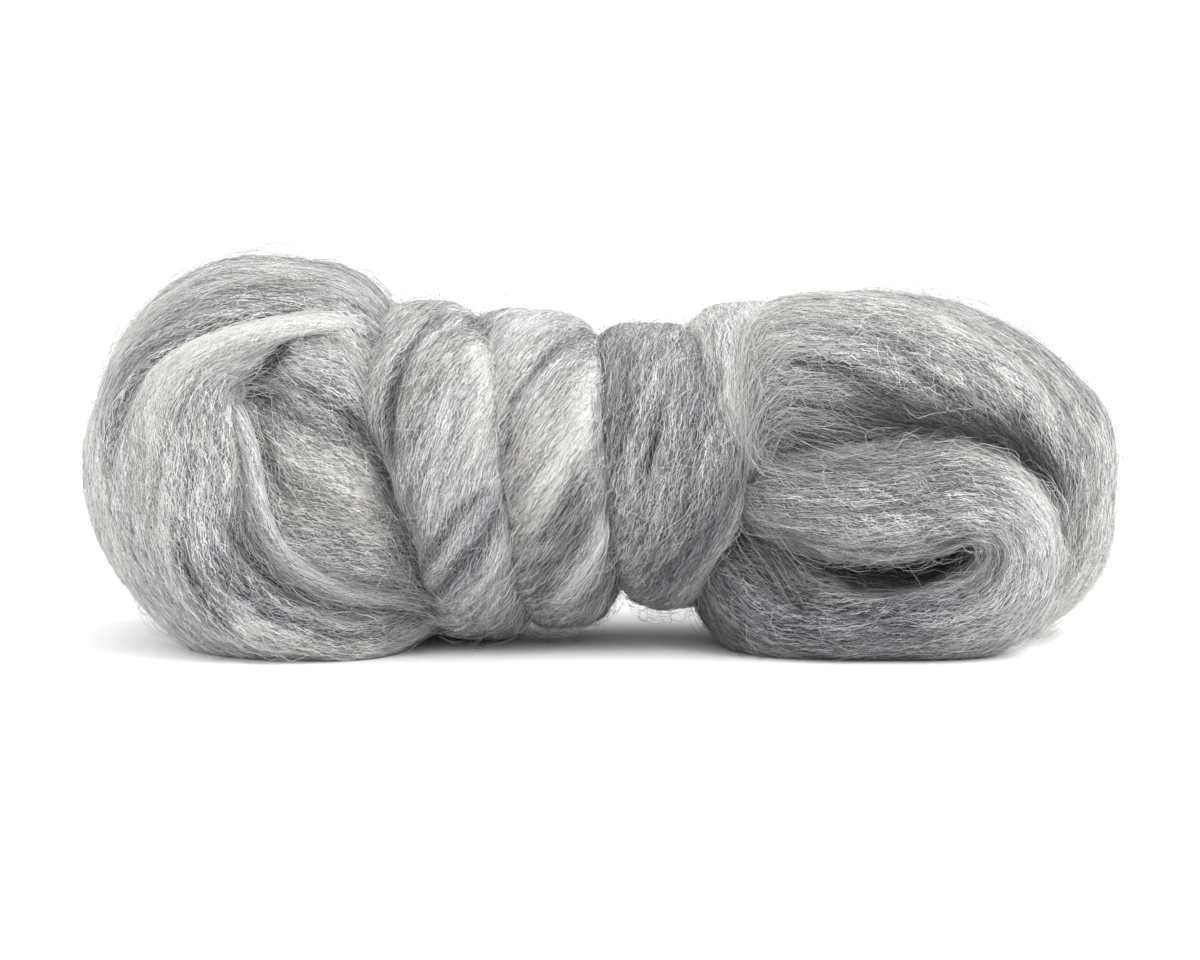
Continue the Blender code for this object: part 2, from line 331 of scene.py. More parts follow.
def new_material(name, finish):
    """A new material with its node tree and its shader, which has the values of its finish."""
    material = bpy.data.materials.new(name)
    material.use_nodes = True
    shader = material.node_tree.nodes["Principled BSDF"]
    for key, value in finish.items():
        shader.inputs[key].default_value = value
    return material, material.node_tree, shader


DARK_FIBRE, MID_FIBRE, LIGHT_FIBRE = "#303035", "#8E8E90", "#E6E6E2"
COOL_CAST, WARM_CAST = "#F7F8FF", "#FFFDF8"


def fibre_colour(tree, tone):
    """The colour of a tone, from dark slate fibre through grey to nearly white.

    Its tint leans it a little to blue or to brown, as the fleeces in the blend do.
    """
    ramp = add(tree, "ShaderNodeValToRGB", {}, {"Fac": tone})
    ramp.color_ramp.elements[0].color = linear(DARK_FIBRE)
    ramp.color_ramp.elements[1].color = linear(LIGHT_FIBRE)
    ramp.color_ramp.elements.new(0.5).color = linear(MID_FIBRE)
    tint = add(tree, "ShaderNodeAttribute", {"attribute_name": "tint"}, {})
    share = add(tree, "ShaderNodeMapRange", {}, {
        "Value": tint.outputs["Fac"], "From Min": -0.8, "From Max": 0.8})
    cast = add(tree, "ShaderNodeMix", {"data_type": "RGBA"}, {"Factor": share})
    cast.inputs[6].default_value = linear(COOL_CAST)
    cast.inputs[7].default_value = linear(WARM_CAST)
    leant = add(tree, "ShaderNodeMix", {"data_type": "RGBA", "blend_type": "MULTIPLY"}, {
        "Factor": 1.0})
    tree.links.new(ramp.outputs["Color"], leant.inputs[6])
    tree.links.new(cast.outputs[2], leant.inputs[7])
    return leant.outputs[2]


# The blend's fibres as the body's material draws them, one layer over another: how far each
# layer turns from the lay, in radians, and how long and how far apart its fibres are, in
# millimetres. A real fibre is 0.03 mm thick, so they are drawn six times as thick to show.
FIBRE_LAYERS = [
    (0.05, 13.0, 0.46), (-0.36, 6.0, 0.5), (0.32, 7.0, 0.46), (-0.12, 9.0, 0.5),
    (0.15, 9.0, 0.54),
]
LAYER_SHIFT = (370, 910, 0)
CRIMPS_PER_MM = 0.28
CRIMP_SWING = (0.3, 1.05, 0.0)
LANE_STAGGER = 20.0
STROKE_CORE, STROKE_EDGE, STROKE_TAPER = 0.08, 0.28, 0.22
# The gaps between the drawn hairs are darker partly for the darker fibres beneath and partly as
# painted shade between the fibres.
GAP_TONE, DARKEST_HAIR, LIGHTEST_HAIR = -0.44, -0.4, 0.56


def fibre_layer(tree, lay, below, height, turned, long, apart):
    """One layer of drawn fibres: the tone and height of those below, covered by its own.

    The layer's place is swung by its own crimp, and ruled in lanes one fibre wide. Each lane is
    cut in fibre lengths, and every length has a place across its lane and a tone by chance. A
    fibre is a soft line down its lane, which thins out to nothing at both of its ends.
    """
    own = add(tree, "ShaderNodeMapping", {}, {
        "Vector": lay, "Location": [turned * shift for shift in LAYER_SHIFT]})
    crimp = add(tree, "ShaderNodeTexNoise", {"noise_dimensions": "2D"}, {
        "Vector": own, "Scale": CRIMPS_PER_MM, "Detail": 1.0})
    swing = add(tree, "ShaderNodeVectorMath", {"operation": "MULTIPLY_ADD"}, {
        0: crimp.outputs["Color"], 1: CRIMP_SWING, 2: own})
    ruled = add(tree, "ShaderNodeMapping", {"vector_type": "TEXTURE"}, {
        "Vector": swing, "Rotation": (0.0, 0.0, turned), "Scale": (long, apart, 1.0)})
    parts = add(tree, "ShaderNodeSeparateXYZ", {}, {"Vector": ruled})
    lane = add(tree, "ShaderNodeMath", {"operation": "FLOOR"}, {0: parts.outputs["Y"]})
    start = add(tree, "ShaderNodeTexWhiteNoise", {"noise_dimensions": "1D"}, {"W": lane})
    further = add(tree, "ShaderNodeMath", {"operation": "MULTIPLY_ADD"}, {
        0: start, 1: LANE_STAGGER, 2: parts.outputs["X"]})
    cut = add(tree, "ShaderNodeMath", {"operation": "FLOOR"}, {0: further})
    key = add(tree, "ShaderNodeCombineXYZ", {}, {"X": lane, "Y": cut})
    chance = add(tree, "ShaderNodeTexWhiteNoise", {"noise_dimensions": "2D"}, {"Vector": key})
    chances = add(tree, "ShaderNodeSeparateColor", {}, {"Color": chance.outputs["Color"]})
    middle = add(tree, "ShaderNodeMapRange", {}, {
        "Value": chances.outputs["Red"], "To Min": 0.3, "To Max": 0.7})
    across = add(tree, "ShaderNodeMath", {"operation": "FRACT"}, {0: parts.outputs["Y"]})
    off = add(tree, "ShaderNodeMath", {"operation": "SUBTRACT"}, {0: across, 1: middle})
    far = add(tree, "ShaderNodeMath", {"operation": "ABSOLUTE"}, {0: off})
    line = add(tree, "ShaderNodeMapRange", {"interpolation_type": "SMOOTHSTEP"}, {
        "Value": far, "From Min": STROKE_CORE, "From Max": STROKE_EDGE,
        "To Min": 1.0, "To Max": 0.0})
    reach = add(tree, "ShaderNodeMath", {"operation": "PINGPONG"}, {0: further, 1: 0.5})
    drawn = add(tree, "ShaderNodeMapRange", {"interpolation_type": "SMOOTHSTEP"}, {
        "Value": reach, "From Max": STROKE_TAPER, "To Max": line})
    lighter = add(tree, "ShaderNodeMapRange", {}, {
        "Value": chances.outputs["Green"], "To Min": DARKEST_HAIR, "To Max": LIGHTEST_HAIR})
    covered = add(tree, "ShaderNodeMix", {"data_type": "FLOAT"}, {
        "Factor": drawn, "A": below, "B": lighter})
    raised = add(tree, "ShaderNodeMath", {"operation": "MULTIPLY_ADD"}, {
        0: drawn, 1: chances.outputs["Blue"], 2: height})
    return covered, raised


def combed_wool():
    """Combed wool top: undyed light and dark fibre blended, never spun.

    Fine matt fibres lie side by side, crimped and crossing a little, so the eye sees a mesh of
    light hairs over darker gaps, partly painted shade between the fibres, in long streaks where
    one fleece or the other prevails.
    """
    material, tree, shader = new_material("combed_wool_top", {
        "Roughness": 0.9, "Specular IOR Level": 0.15,
        "Sheen Weight": 0.35, "Sheen Roughness": 0.45})
    lay = add(tree, "ShaderNodeUVMap", {"uv_map": "lay"}, {})
    lighter, height = GAP_TONE, 0.0
    for layer in FIBRE_LAYERS:
        lighter, height = fibre_layer(tree, lay, lighter, height, *layer)
    tone = add(tree, "ShaderNodeAttribute", {"attribute_name": "tone"}, {})
    mixed = add(tree, "ShaderNodeMath", {"operation": "ADD", "use_clamp": True}, {
        0: tone.outputs["Fac"], 1: lighter})
    bump = add(tree, "ShaderNodeBump", {}, {"Height": height, "Strength": 0.9, "Distance": 0.0002})
    tree.links.new(fibre_colour(tree, mixed), shader.inputs["Base Color"])
    tree.links.new(bump.outputs["Normal"], shader.inputs["Normal"])
    return material


WOOL = combed_wool()
END_TONE = 0.3
STRANDS = []


def walls_of(rows, columns):
    """The quads of a grid whose last column joins its first."""
    row, column = np.mgrid[0:rows - 1, 0:columns]
    after = (column + 1) % columns
    return np.stack([
        row * columns + column, row * columns + after,
        (row + 1) * columns + after, (row + 1) * columns + column,
    ], axis=2).reshape(-1, 4)


def show(strand):
    """Adds the strand's piece: its grid closed at both ends, with its lay as a UV map."""
    rows, columns = strand.points.shape[:2]
    ends = strand.points[[0, -1]].mean(axis=1)
    points = np.concatenate([strand.points.reshape(-1, 3), ends])
    walls = walls_of(rows, columns)
    ring = np.arange(columns)
    beside = (ring + 1) % columns
    first, last = rows * columns, rows * columns + 1
    caps = np.concatenate([
        np.stack([beside, ring, np.full(columns, first)], axis=1),
        np.stack([ring, beside, np.full(columns, last)], axis=1),
    ])
    caps[columns:, :2] += first - columns
    mesh = closed_mesh(strand.name, points, [walls, caps])
    loops = np.zeros(len(mesh.loops), dtype=np.int32)
    mesh.loops.foreach_get("vertex_index", loops)
    at_row = np.minimum(loops // columns, rows - 1)
    at_column = loops % columns
    seam = np.zeros(len(loops))
    quads = 4 * len(walls)
    columns_of = at_column[:quads].reshape(-1, 4)
    crossing = (columns_of.max(axis=1) == columns - 1) & (columns_of.min(axis=1) == 0)
    seam[:quads] = (crossing[:, None] & (columns_of == 0)).ravel()
    along = strand.along[at_row, at_column]
    across = (at_column / columns + seam) * strand.girth - strand.twist[at_row]
    uv = mesh.uv_layers.new(name="lay")
    uv.data.foreach_set("uv", np.stack([along, across], axis=1).astype(np.float32).ravel())
    paint(mesh, "tone", np.append(strand.tone, [END_TONE, END_TONE]))
    paint(mesh, "tint", np.append(strand.tint, [0.0, 0.0]))
    mesh.materials.append(WOOL)
    piece = put(strand.name, mesh)
    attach(piece, "root")
    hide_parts("roving_hank")
    STRANDS.append(strand)


show(comb(
    "outer_band", fold_grid(OUTER_BAND, rows=110, columns=130), lays=[0.05],
    tones=[0.5, 0.46, 0.46, 0.52, 0.6, 0.5], locks=OUTER_LOCKS, seed=1))

# Middle band of the left fold. The same rope of combed wool on its next turn, nearer the front:
# it fans out round the eye, which is painted dark with shade, and its lighter locks part from
# the darker ones below.
MIDDLE_BAND = [
    (-40, 68, -40, 77, 0.5, -10, 8),
    (-50, 73, -50, 83, 0.5, -14, 8),
    (-57, 78, -57, 88, 0.5, -21, 8),
    (-63, 81, -63, 91, 0.5, -29, 8),
    (-70, 83, -70, 93, 0.5, -37, 8),
    (-81, 82, -87, 91, 0.45, -43, 8),
    (-88, 78, -108, 86, 0.35, -46, 8),
    (-92, 74, -126, 76, 0.28, -47, 12),
    (-92, 68, -137, 58, 0.22, -47, 20),
    (-91, 58, -138, 44, 0.2, -47, 24),
    (-91, 47, -134, 28, 0.2, -47, 24),
    (-92, 38, -123, 12, 0.24, -47, 24),
    (-87, 29, -106, -2, 0.3, -46, 20),
    (-77, 21, -86, -5, 0.38, -44, 14),
    (-61, 16, -60, -4, 0.5, -37, 8),
    (-42, 16, -40, 8, 0.5, -18, 8),
]
MIDDLE_LOCKS = [
    Lock([(362, 322), (300, 327), (250, 334), (200, 345), (158, 362), (138, 382)], 7, 0.8, 0.18),
    Lock([(232, 376), (200, 392), (176, 420), (160, 460), (150, 520)], 5, -0.3, -0.06),
    Lock([(205, 465), (200, 510), (204, 545), (220, 572), (250, 606), (262, 625)], 6, 0.5, 0.16),
    Lock([(172, 470), (164, 510), (170, 556), (190, 590), (215, 616)], 5, 0.4, 0.12),
    Lock([(162, 458), (155, 500), (150, 545), (162, 582), (186, 612)], 6, -0.6, -0.16),
    Lock([(192, 455), (184, 500), (184, 540), (192, 572), (208, 596)], 7, -0.5, -0.16),
    Lock([(222, 510), (236, 540), (252, 561), (268, 577), (289, 591), (316, 602)], 5, -1.6, -0.34),
    Lock([(206, 548), (226, 576), (246, 594), (264, 610), (288, 630)], 10, -0.6, -0.34),
    Lock([(230, 590), (262, 628), (300, 641)], 8, 0.3, 0.16),
    Lock([(300, 606), (330, 626), (372, 634)], 8, 0.8, 0.16),
    Lock([(176, 540), (188, 575), (206, 600), (232, 626)], 10, -0.8, -0.4),
    Lock([(300, 618), (340, 636), (400, 640)], 6, -0.6, -0.22),
    Lock([(100, 420), (98, 470), (104, 530), (122, 580)], 9, 0.3, 0.14),
    # Lighter along the ridge's left side: painted light over the shade there.
    Lock([(232, 408), (236, 440), (242, 470), (250, 500), (262, 524)], 10, 0.4, 0.24),
]
show(comb(
    "middle_band", fold_grid(MIDDLE_BAND, rows=120, columns=140), lays=[0.0],
    tones=[0.78, 0.78, 0.68, 0.62, 0.54, 0.5], locks=MIDDLE_LOCKS, seed=2))

# Ridge of the left fold. The middle band's inner edge rolls over into one light tress of combed
# wool, which runs down from the eye and along the bottom of the fan to the waist.
RIDGE = [
    (-111, 80, -100, 78, 0.6, -36, -24),
    (-108, 72, -95, 71, 0.74, -42.5, -26),
    (-105, 63, -90.8, 64, 0.82, -45.8, -28),
    (-103, 55, -88.5, 57, 0.84, -47.1, -28),
    (-101, 47, -87.5, 51, 0.85, -47.7, -28),
    (-99.5, 39.5, -86.6, 44.5, 0.85, -47.7, -28),
    (-96.5, 31, -85, 38.5, 0.84, -47.7, -28),
    (-90, 24, -81.5, 31.5, 0.82, -47.7, -28),
    (-77, 16.5, -73, 24, 0.74, -46.2, -26),
    (-63, 12.5, -61, 21, 0.64, -40.5, -22),
    (-50, 11, -49, 19.5, 0.55, -31.5, -16),
    (-40, 12, -39, 18, 0.5, -20, -8),
]
RIDGE_LOCKS = [
    Lock([(240, 404), (245, 430), (252, 458), (256, 484), (264, 508)], 10, 0.2, 0.32),
    Lock([(256, 484), (271, 517), (284, 545), (302, 566), (326, 582), (366, 597)], 7, 0.2, 0.32),
]
show(comb(
    "ridge", fold_grid(RIDGE, rows=110, columns=50), lays=[0.0],
    tones=[0.5, 0.54, 0.5, 0.44], locks=RIDGE_LOCKS, seed=11))

# Fan between the eye and the first wrap. The rope's inner fibres spread from the eye over a
# dome of combed wool, looser than the rest, and are drawn together where the tail binds them.
FAN = [
    (-105, 62, -94, 83, 0.5, -25, 4),
    (-104, 46, -87, 90, 0.5, -37.5, 4),
    (-100, 28, -78, 95, 0.52, -43.5, 2),
    (-89, 12, -69, 95, 0.52, -45.5, 2),
    (-70, 6, -64, 91, 0.52, -44, 2),
    (-55, 5, -59, 82, 0.5, -36, 2),
    (-42, 8, -48, 70, 0.5, -20, 2),
]
FAN_LOCKS = [
    Lock([(285, 354), (312, 352), (340, 360), (354, 385)], 16, 0.8, 0.04),
    Lock([(246, 376), (275, 390), (310, 406), (345, 424), (374, 446)], 22, -1.8, -0.18),
    Lock([(262, 372), (300, 386), (335, 405), (360, 430)], 7, -0.6, -0.16),
    Lock([(252, 388), (275, 410), (315, 424), (362, 442)], 8, -0.5, -0.16),
    # The eye: a hollow whose near-black tone is painted shade.
    Lock([(236, 380), (250, 370), (268, 357), (290, 345)], 8, -2.2, -0.85),
    Lock([(244, 384), (258, 392), (276, 400)], 8, -0.8, -0.2),
    Lock([(350, 398), (366, 430), (380, 456), (392, 486), (402, 520)], 13, -1.0, -0.36),
    Lock([(256, 420), (266, 448), (276, 482), (292, 512)], 6, -1.0, -0.22),
    Lock([(300, 460), (350, 500), (395, 560)], 18, 0.8, 0.12),
    Lock([(330, 445), (370, 480), (398, 530)], 6, 0.4, 0.12),
    Lock([(290, 480), (330, 530), (380, 580)], 7, -0.4, -0.08),
]
show(comb(
    "fan", fold_grid(FAN, rows=90, columns=130), lays=[-0.05, -0.1],
    tones=[0.57, 0.62, 0.61], locks=FAN_LOCKS, seed=3, wild=1.7))

# Back of the left fold. It is not seen from the front, so it is one plain turn of the rope, of
# the same combed wool, with no locks raised on it.
LEFT_BACK_FOLD = [
    (-38, 46, -38, 82, 0.5, -18, 28),
    (-62, 48, -60, 92, 0.5, -18, 38),
    (-84, 50, -82, 94, 0.45, -18, 44),
    (-93, 51, -112, 86, 0.35, -18, 46),
    (-95, 49, -129, 62, 0.3, -18, 47),
    (-95, 46, -131, 38, 0.3, -18, 47),
    (-92, 44, -112, 14, 0.3, -18, 46),
    (-82, 45, -84, 5, 0.4, -18, 43),
    (-60, 46, -58, 5, 0.5, -18, 38),
    (-38, 47, -36, 10, 0.5, -18, 26),
]
show(comb(
    "left_back_fold", fold_grid(LEFT_BACK_FOLD, rows=80, columns=100), lays=[0.05],
    tones=[0.52], locks=[], seed=5))

# Tail. The free end of the rope of combed wool, wound three times round the waist, then up over
# the top and down to a point. Winding twists it, so its fibres climb across each wrap.
WAIST_HEIGHT = 46.5
STRAND_HALF_DEPTH = 14.0
WRAP_ROUND = 2.6

# A row of its table is one ring of it: the quarter turns from the top towards the front, the X of
# its middle, how far its outside stands from the waist's axis, and half its width.
TAIL = [
    (-0.6, -52, 22, 4),
    (-0.4, -51, 31, 8),
    (-0.2, -49, 39, 13),
    (0.0, -47.5, 44.5, 16),
    (0.35, -46.5, 46.5, 18),
    (0.7, -44.5, 46.5, 18.5),
    (1.0, -40.5, 45.5, 15),
    (1.25, -36, 45.5, 13.8),
    (1.5, -34, 46, 13.5),
    (2.0, -33, 47, 15),
    (3.0, -27, 44, 15),
    (4.0, -20, 43, 19),
    (5.0, -14, 43, 15),
    (6.0, -9, 43, 13.5),
    (7.0, 1, 42, 15),
    (8.0, 12, 39, 15.5),
    (8.6, 15.5, 38.5, 17.5),
    (9.0, 19, 38.5, 20),
    (9.25, 19, 38.5, 18.5),
    (9.5, 17, 38.5, 14.5),
    (10.0, 18, 38, 14),
    (11.0, 28, 41, 15),
    (12.0, 42, 45, 19),
    (12.35, 40.5, 42, 16),
    (12.6, 37.5, 38, 10),
    (12.8, 38, 34.5, 6.5),
    (13.0, 39, 30, 4.5),
    (13.15, 40, 26, 3.5),
]
# How its fibres lean, in radians, and how light they are, from its hidden start to its point.
TAIL_LAYS = [
    -0.5, -0.55, -0.6, -0.65, -0.7, -0.6, -0.6, -0.6, -0.65, -0.7, -0.6,
    -0.5, -0.4, -0.3, -0.3, -0.35, -0.4, -0.3, -0.2, -0.1, 0.0, 0.0]
TAIL_TONES = [
    0.3, 0.59, 0.54, 0.55, 0.38, 0.68, 0.42, 0.5, 0.4, 0.46, 0.36, 0.54, 0.78, 0.6]
TAIL_LOCKS = [
    Lock([(447, 311), (425, 325), (410, 345), (398, 370), (390, 396), (386, 430), (387, 462)],
         5, -2.2, -0.42),
    Lock([(400, 380), (392, 410), (390, 440), (394, 470)], 9, -0.6, -0.18),
    Lock([(372, 335), (366, 370), (368, 410), (378, 440)], 6, 0.4, 0.1),
    Lock([(412, 470), (408, 500), (414, 540), (418, 580)], 7, -0.5, -0.22),
    Lock([(466, 345), (480, 375), (484, 410), (476, 450), (450, 500), (432, 540)], 12, 0.8, 0.26),
    Lock([(452, 360), (446, 400), (440, 450), (428, 500)], 6, 0.3, 0.14),
    Lock([(486, 486), (462, 511), (444, 531), (431, 552), (421, 572)], 4, -1.2, -0.36),
    Lock([(497, 468), (490, 495), (472, 520), (452, 548), (436, 570)], 5, 0.6, 0.22),
    Lock([(500, 508), (482, 540), (462, 562), (442, 584), (426, 604)], 6, -1.2, -0.38),
    Lock([(508, 540), (494, 570), (470, 598), (448, 612)], 7, 0.5, 0.16),
    Lock([(506, 560), (492, 585), (478, 600)], 4, -0.3, -0.12),
    Lock([(470, 318), (478, 330), (490, 345)], 7, -1.2, -0.24),
    Lock([(592, 334), (562, 344), (542, 363), (525, 381), (512, 402), (505, 428), (506, 455)],
         5, -1.4, -0.34),
    Lock([(500, 318), (525, 322), (548, 330)], 10, 0.3, 0.16),
    Lock([(590, 355), (588, 395), (580, 430), (560, 462), (538, 500), (524, 535)], 13, 0.9, 0.34),
    Lock([(556, 380), (540, 420), (528, 470)], 8, 0.2, 0.12),
    Lock([(594, 480), (576, 524), (552, 562), (526, 598)], 16, -0.4, -0.36),
    Lock([(580, 470), (560, 510), (538, 545)], 5, -0.6, -0.22),
    Lock([(600, 500), (584, 535), (562, 566)], 5, -0.6, -0.2),
    Lock([(606, 520), (598, 544), (584, 566), (566, 588), (546, 605)], 5, 1.2, 0.42),
    Lock([(614, 560), (604, 585), (585, 606)], 7, -0.3, -0.14),
    Lock([(598, 420), (597, 450), (602, 480)], 4, -1.0, -0.3),
    Lock([(664, 398), (657, 430), (648, 462), (640, 496)], 4, -2.2, -0.55),
    Lock([(630, 400), (622, 440), (614, 480)], 5, -0.5, -0.16),
    Lock([(690, 365), (684, 400), (672, 440), (662, 480), (650, 520)], 6, 0.5, 0.14),
    Lock([(722, 352), (727, 380), (722, 420), (705, 460), (684, 500)], 6, 0.3, 0.1),
    Lock([(712, 352), (720, 372), (718, 398)], 4, -0.9, -0.24),
    Lock([(744, 440), (736, 480), (712, 525), (680, 566), (640, 594)], 14, -0.3, -0.34),
    Lock([(748, 400), (754, 440), (754, 490), (744, 540)], 7, -0.5, -0.24),
    Lock([(700, 470), (682, 510), (652, 556), (628, 580)], 5, -0.5, -0.18),
    Lock([(720, 420), (706, 460), (690, 490)], 4, 0.3, 0.12),
    Lock([(636, 345), (626, 385), (618, 430)], 5, -0.3, -0.1),
    Lock([(704, 306), (708, 322), (706, 338)], 3, -0.6, -0.16),
]


def wrap_grid(table, rows, columns):
    """The tail's grid: each row is an oval that stands out from the waist at its own turn."""
    across, up = oval(2 * columns, WRAP_ROUND)
    table = np.array(table, dtype=float)
    quarter, x, reach, half_width = smooth_rows(table, table[:, 0], rows).T[:, :, None]
    half_depth = np.minimum(STRAND_HALF_DEPTH, 2 * half_width)
    turn = quarter * math.pi / 2
    out = reach - half_depth + half_depth * up
    return even_round(np.stack([
        x + half_width * across,
        -out * np.sin(turn),
        WAIST_HEIGHT + out * np.cos(turn),
    ], axis=2), columns)


show(comb(
    "tail", wrap_grid(TAIL, rows=420, columns=70), TAIL_LAYS, TAIL_TONES, TAIL_LOCKS,
    seed=6, coiled=True))

# Right fold: the tall arch at the rear, of the same combed wool, where the rope leaves the neck
# and turns round the right end, and the small inner fold that comes out under it.
ARCH = [
    (34, 53, 35, 82, 0.5, -26, 24),
    (46, 51, 46, 91.5, 0.5, -35, 34),
    (63, 54, 65, 94, 0.5, -36, 39),
    (84, 54, 93, 91, 0.5, -36, 41),
    (104, 47, 122, 76, 0.5, -33, 42),
    (111, 37, 136, 60, 0.5, -29, 42),
    (114, 27, 138, 40, 0.5, -24, 41),
    (112, 16, 137, 22, 0.5, -19, 40),
    (95, 7, 121, 2, 0.5, -7, 40),
    (73, 7, 99, -3, 0.5, -4, 38),
    (51, 10, 63, -3, 0.5, -4, 34),
    (38, 16, 40, 4, 0.5, -4, 24),
    (24, 28, 24, 18, 0.5, -2, 14),
]
ARCH_LOCKS = [
    # Where the arch turns under above the roll: a groove darkened with painted shade.
    Lock([(850, 408), (900, 416), (945, 422), (990, 434), (1030, 462), (1058, 502)],
         19, -1.4, -0.5),
    Lock([(776, 346), (808, 361), (838, 371), (866, 386), (892, 404), (915, 420)], 8, -1.6, -0.24),
    Lock([(904, 363), (926, 379), (948, 389), (984, 402)], 5, -1.2, -0.26),
    Lock([(860, 345), (900, 358), (940, 372), (990, 392)], 5, 0.4, 0.02),
    Lock([(930, 330), (980, 350), (1030, 385), (1050, 430)], 9, 0.4, 0.06),
    Lock([(868, 338), (900, 350), (936, 366)], 10, 0.0, -0.16),
    Lock([(800, 322), (860, 330), (920, 345)], 6, -0.3, -0.12),
    Lock([(980, 315), (1040, 345), (1078, 385), (1092, 440)], 5, -0.4, -0.14),
    Lock([(1010, 405), (1030, 440), (1050, 480), (1064, 520)], 8, -0.6, -0.22),
    Lock([(1096, 420), (1104, 480), (1096, 550)], 8, 0.2, 0.12),
]
INNER_FOLD = [
    (34, 54, 34, 76, 0.5, -27, 12),
    (46, 52, 47, 81, 0.5, -35.5, 12),
    (57, 53, 59, 77, 0.5, -35.5, 12),
    (66, 53, 69, 71, 0.5, -32, 12),
    (75, 53, 78, 65, 0.5, -26, 12),
    (83, 52, 86, 59, 0.5, -19, 12),
]
INNER_LOCKS = [
    # Along the fold's underside under the arch: a groove darkened with painted shade.
    Lock([(790, 440), (830, 424), (870, 416), (905, 420)], 15, -1.2, -0.44),
    Lock([(768, 372), (805, 378), (836, 390), (858, 408)], 7, 0.5, 0.12),
    Lock([(765, 405), (800, 402), (835, 410)], 5, -0.6, -0.2),
    Lock([(768, 425), (810, 418), (846, 424)], 5, 0.4, 0.06),
]
# The arch's tone rises to nearly white over its lower right end and underside: painted light on
# that downward-facing side.
show(comb(
    "arch", fold_grid(ARCH, rows=120, columns=130), lays=[-0.15, -0.4, -0.25, 0.0, 0.0],
    tones=[0.6, 0.57, 0.53, 0.47, 0.42, 0.54, 0.94, 1.0, 1.0, 0.9, 0.9],
    locks=ARCH_LOCKS, seed=7))
# The inner fold darkens towards its end under the arch: painted shade.
show(comb(
    "inner_fold", fold_grid(INNER_FOLD, rows=50, columns=80), lays=[-0.1],
    tones=[0.54, 0.48, 0.4, 0.3], locks=INNER_LOCKS, seed=8))

# Right fold: the roll in front. The rope of combed wool comes out beside the last wrap and turns
# back on itself round a narrow slot, which is its deepest lock, painted nearly black with shade.
FRONT_ROLL = [
    (33, 35, 33, 49, 0.5, -26, 8),
    (45, 28, 44, 54, 0.5, -38, 8),
    (56, 25, 55, 57, 0.45, -43, 8),
    (66, 24.5, 67, 58, 0.38, -45, 8),
    (77, 25, 80, 59, 0.34, -46, 8),
    (86, 26.3, 97, 58, 0.36, -46, 8),
    (93, 28.5, 111, 50, 0.42, -46, 8),
    (95.5, 29.5, 120, 35, 0.48, -45, 8),
    (95.5, 28, 120, 20, 0.5, -44, 8),
    (92, 25, 111, 4, 0.48, -43, 8),
    (85, 22.8, 97, -3, 0.42, -43, 8),
    (75, 21.5, 77, -5, 0.4, -43, 8),
    (65, 22, 57, -4, 0.45, -42, 8),
    (54, 27, 39, -3, 0.5, -37, 8),
    (44, 33, 27, 6, 0.5, -29, 8),
    (36, 35, 22.5, 16, 0.5, -20, 8),
]
ROLL_LOCKS = [
    # The slot: a deep groove whose near-black tone is painted shade.
    Lock([(838, 572), (862, 581), (890, 582), (920, 574), (948, 561), (972, 544)], 9, -2.4, -0.95),
    Lock([(768, 525), (782, 537), (797, 547), (812, 555), (826, 565), (842, 575)], 5, -1.2, -0.34),
    Lock([(840, 540), (880, 530), (920, 528)], 12, 1.2, 0.16),
    Lock([(870, 513), (905, 507), (940, 515), (965, 535)], 4, -0.6, -0.14),
    Lock([(790, 500), (850, 488), (910, 486), (960, 500), (990, 535)], 6, 0.4, 0.08),
    Lock([(780, 475), (840, 468), (900, 462), (955, 472), (1000, 500)], 7, -0.3, -0.12),
    Lock([(900, 444), (960, 448), (1010, 470), (1040, 510), (1048, 560), (1030, 600)],
         9, 0.4, 0.12),
    Lock([(812, 588), (850, 602), (890, 606), (932, 598), (968, 582), (990, 556)], 5, 0.7, 0.2),
    Lock([(828, 612), (870, 622), (912, 622), (952, 609), (988, 588)], 6, -0.7, -0.18),
    Lock([(760, 555), (785, 590), (815, 615)], 9, -0.4, -0.14),
    Lock([(985, 520), (1003, 550), (1000, 585)], 5, -0.4, -0.12),
    # The tongue's tip, where it turns into the slot, darkened with painted shade.
    Lock([(926, 562), (950, 550), (974, 536)], 9, -0.8, -0.42),
    # The roll's left end underneath: not raised, only painted shade.
    Lock([(688, 596), (704, 616), (724, 634), (750, 642)], 12, 0.0, -0.34),
]
# The roll's tone falls off over its underside and left end: painted shade.
show(comb(
    "front_roll", fold_grid(FRONT_ROLL, rows=140, columns=130), lays=[0.0],
    tones=[0.5, 0.45, 0.48, 0.62, 0.56, 0.26, 0.26, 0.2], locks=ROLL_LOCKS, seed=9))

# Back of the right fold. Like the left one, it is one plain turn of the rope of combed wool,
# with no locks raised on it.
RIGHT_BACK_FOLD = [
    (35, 33, 35, 60, 0.5, -12, 28),
    (60, 33, 60, 66, 0.5, -12, 38),
    (85, 33, 88, 65, 0.45, -12, 42),
    (98, 33, 115, 54, 0.35, -12, 43),
    (100, 31, 124, 32, 0.3, -12, 43),
    (97, 28, 113, 10, 0.3, -12, 42),
    (84, 27, 86, 1, 0.4, -12, 40),
    (60, 29, 58, 2, 0.5, -12, 35),
    (38, 32, 36, 10, 0.5, -12, 27),
    (22, 38, 20, 24, 0.5, -8, 16),
]
show(comb(
    "right_back_fold", fold_grid(RIGHT_BACK_FOLD, rows=70, columns=90), lays=[0.05],
    tones=[0.52], locks=[], seed=10))

# Loose fibre. Combing leaves every fibre end free, so the whole hank is covered with fine
# crimped wool fibres, which lie nearly along the lay and cross each other, and a few stand
# clear. Each is a thin tube of its own over a strand's grid.
Fibres = namedtuple("Fibres", "count length spread lift radius tone crimp seed")

